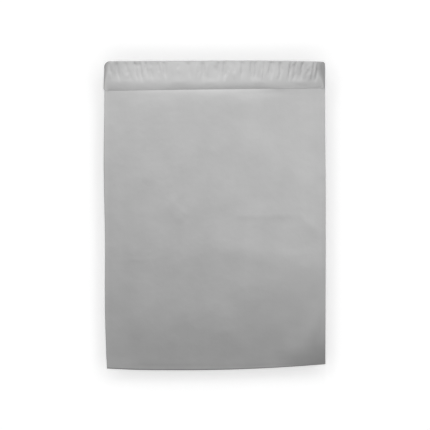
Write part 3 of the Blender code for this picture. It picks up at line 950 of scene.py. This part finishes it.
def tacky_adhesive():
    material, tree, shader = new_material("pale_hot_melt_adhesive")
    place = add_node(tree, "ShaderNodeTexCoord").outputs["Object"]
    ripples = add_node(
        tree, "ShaderNodeTexNoise", values={"Scale": 1 / RIPPLE_SIZE, "Detail": 2.0},
        links={"Vector": place},
    ).outputs["Fac"]
    colour = add_node(
        tree, "ShaderNodeMix", settings={"data_type": "RGBA"}, links={"Factor": ripples}
    )
    colour.inputs["A"].default_value = linear(ADHESIVE_DARKER)
    colour.inputs["B"].default_value = linear(ADHESIVE_LIGHTER)
    tree.links.new(colour.outputs["Result"], shader.inputs["Base Color"])
    bump = add_node(
        tree, "ShaderNodeBump", values={"Strength": RIPPLE_STRENGTH, "Distance": RIPPLE_RELIEF},
        links={"Height": ripples},
    ).outputs["Normal"]
    tree.links.new(bump, shader.inputs["Normal"])
    shader.inputs["Roughness"].default_value = ADHESIVE_ROUGHNESS
    shader.inputs["IOR"].default_value = ADHESIVE_IOR
    return material


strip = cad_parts["glue_strip"]
strip.data.materials.clear()
strip.data.materials.append(tacky_adhesive())
print("dressed:", film.name, "and", strip.name)

# %% [markdown]
# ## The floor
#
# A plain white floor lies under the bag. It has to look white from every side and still keep the bag's
# soft shadow. So it is a matt white surface, and for the camera, and in gloss and glass, it also gives
# off the little that its own lamps leave it short of white. It lies a hair below the table's height, so
# that it never shares a plane with the bag's back.

# %% White floor
FLOOR_SIZE = 6.0
FLOOR_GREY = 0.8
FLOOR_GLOW = 0.335
FLOOR_HEIGHT = -0.0002


def white_floor():
    material, tree, shader = new_material("matt_white_floor")
    ray = add_node(tree, "ShaderNodeLightPath")
    seen = add_node(
        tree, "ShaderNodeMath", settings={"operation": "MAXIMUM"},
        links={0: ray.outputs["Is Camera Ray"], 1: ray.outputs["Is Glossy Ray"]},
    ).outputs[0]
    seen = add_node(
        tree, "ShaderNodeMath", settings={"operation": "MAXIMUM"},
        links={0: seen, 1: ray.outputs["Is Transmission Ray"]},
    ).outputs[0]
    glow = add_node(
        tree, "ShaderNodeMath", settings={"operation": "MULTIPLY"}, values={1: FLOOR_GLOW},
        links={0: seen},
    ).outputs[0]
    shader.inputs["Base Color"].default_value = (FLOOR_GREY, FLOOR_GREY, FLOOR_GREY, 1.0)
    shader.inputs["Roughness"].default_value = 1.0
    shader.inputs["Specular IOR Level"].default_value = 0.0
    shader.inputs["Emission Color"].default_value = (1.0, 1.0, 1.0, 1.0)
    tree.links.new(glow, shader.inputs["Emission Strength"])
    return material


floor_mesh = bmesh.new()
bmesh.ops.create_grid(floor_mesh, x_segments=1, y_segments=1, size=FLOOR_SIZE / 2)
floor_data = bpy.data.meshes.new("floor")
floor_mesh.to_mesh(floor_data)
floor_mesh.free()
floor = bpy.data.objects.new("floor", floor_data)
floor.location.z = FLOOR_HEIGHT
floor_data.materials.append(white_floor())
bpy.context.scene.collection.objects.link(floor)
print("floor:", FLOOR_SIZE, "m wide")

# %% [markdown]
# ## The window and the fill card
#
# A flat grey bag under flat light would look like a grey rectangle. A soft window low beyond the flap,
# and a little to the left, rakes across it: the flap end is brighter than the bottom, and every wrinkle
# has a light and a shaded side. Seen in the satin film, a whole window would be a broad glare. So most
# of it is kept out of reflections, as a polarising filter would do, and a small share gives the sheen.
# A weak card beside the bag lightens the right of its front. These lamps are linked to the bag alone,
# so that they can be set without changing the floor.

# %% Window and fill card
WINDOW_PLACE = (-0.16, 0.835, 0.447)
WINDOW_AIM = (0.0, 0.05, 0.0)
WINDOW_SIZE = (0.50, 0.30)
WINDOW_POWER = 11.6
SHEEN_SHARE = 0.12
FILL_PLACE = (0.50, 0.035, 0.26)
FILL_AIM = (0.07, 0.025, 0.0)
FILL_SIZE = 0.20
FILL_POWER = 0.12
FILL_SPREAD = 50


def group(name, *members):
    collection = bpy.data.collections.new(name)
    bpy.context.scene.collection.children.link(collection)
    for member in members:
        collection.objects.link(member)
    return collection


def lamp(name, kind, place, aim, only):
    """A lamp at place that points at aim and lights only one group."""
    data = bpy.data.lights.new(name, kind)
    item = bpy.data.objects.new(name, data)
    bpy.context.scene.collection.objects.link(item)
    item.location = place
    item.rotation_euler = (Vector(aim) - Vector(place)).to_track_quat("-Z", "Y").to_euler()
    item.light_linking.receiver_collection = only
    return item


on_bag = group("lit_by_the_window", film, strip)
on_floor = group("lit_by_the_floor_lamps", floor)

for part, share in (("soft", 1 - SHEEN_SHARE), ("sheen", SHEEN_SHARE)):
    window = lamp(f"window_{part}", "AREA", WINDOW_PLACE, WINDOW_AIM, on_bag)
    window.data.shape = "RECTANGLE"
    window.data.size, window.data.size_y = WINDOW_SIZE
    window.data.energy = WINDOW_POWER * share
    window.visible_glossy = part == "sheen"

fill = lamp("fill_card", "AREA", FILL_PLACE, FILL_AIM, on_bag)
fill.data.size = FILL_SIZE
fill.visible_glossy = False
fill.data.spread = math.radians(FILL_SPREAD)
fill.data.energy = FILL_POWER
window_rise = math.degrees(math.atan2(WINDOW_PLACE[2], math.hypot(*WINDOW_PLACE[:2])))
print("the window stands", round(window_rise), "degrees above the table")

# %% [markdown]
# ## The floor lamps
#
# Twelve weak, broad lamps stand in a ring near the horizon and light only the floor. Together they keep
# it evenly white and leave a soft shadow all round the bag. Those beyond the flap stand lowest and are
# the brightest, so the shadow is a little longer below the bag. One lamp overhead would be simpler, but
# it leaves no shadow at the edges of a thing this flat.

# %% Ring of floor lamps
FLOOR_LAMPS = 12
FLOOR_LAMP_HEIGHT = 7.2
FLOOR_LAMP_LEVEL = 0.112
FLOOR_LAMP_BREADTH = 14
FLAP_SIDE_DROP = 3.5
FLAP_SIDE_EXTRA = 0.9

for number in range(FLOOR_LAMPS):
    turn = 2 * math.pi * number / FLOOR_LAMPS
    towards_flap = math.cos(turn)
    height = math.radians(FLOOR_LAMP_HEIGHT - FLAP_SIDE_DROP * towards_flap)
    place = (math.sin(turn) * math.cos(height), math.cos(turn) * math.cos(height), math.sin(height))
    sun = lamp(f"floor_lamp_{number}", "SUN", place, (0, 0, 0), on_floor)
    sun.data.energy = FLOOR_LAMP_LEVEL * (1 + FLAP_SIDE_EXTRA * max(0.0, towards_flap)) / math.sin(height)
    sun.data.angle = math.radians(FLOOR_LAMP_BREADTH)

print(FLOOR_LAMPS, "floor lamps, the last one", round(math.degrees(height), 1), "degrees above the floor")

# %% [markdown]
# ## The sky
#
# An even pale sky fills in the shaded sides. To the camera, and through clear things, it is plain
# white, so that it runs into the floor from every side. To the bag it is a third as bright.

# %% Pale sky
SKY_LEVEL = 0.33

world = bpy.data.worlds.new("pale_sky")
bpy.context.scene.world = world
world.use_nodes = True
sky_tree = world.node_tree
ray = add_node(sky_tree, "ShaderNodeLightPath")
seen = add_node(
    sky_tree, "ShaderNodeMath", settings={"operation": "MAXIMUM"},
    links={0: ray.outputs["Is Camera Ray"], 1: ray.outputs["Is Transmission Ray"]},
).outputs[0]
level = add_node(
    sky_tree, "ShaderNodeMapRange", values={"To Min": SKY_LEVEL, "To Max": 1.0}, links={"Value": seen}
).outputs["Result"]
sky_tree.links.new(level, sky_tree.nodes["Background"].inputs["Strength"])
sky_tree.nodes["Background"].inputs["Color"].default_value = (1.0, 1.0, 1.0, 1.0)
print("the sky lights the bag at", SKY_LEVEL, "of white")

# %% [markdown]
# ## The camera
#
# The camera hangs straight above the bag and looks down, far enough off that nothing leans. The frame
# is 487 mm wide at the table: the 250 mm bag takes up a little over half of it. The camera stands half
# a millimetre off the bag's middle, as a hand-placed one does.

# %% Camera from straight above
FRAME_WIDTH = 0.4868
CAMERA_HEIGHT = 1.6
CAMERA_OFFSET = (0.0004, 0.0005)

camera_data = bpy.data.cameras.new("camera")
camera_data.lens = camera_data.sensor_width * CAMERA_HEIGHT / FRAME_WIDTH
camera = bpy.data.objects.new("camera", camera_data)
camera.location = (*CAMERA_OFFSET, CAMERA_HEIGHT)
bpy.context.scene.collection.objects.link(camera)
bpy.context.scene.camera = camera
bpy.context.scene.view_settings.view_transform = "Standard"
print("lens:", round(camera_data.lens, 1), "mm")
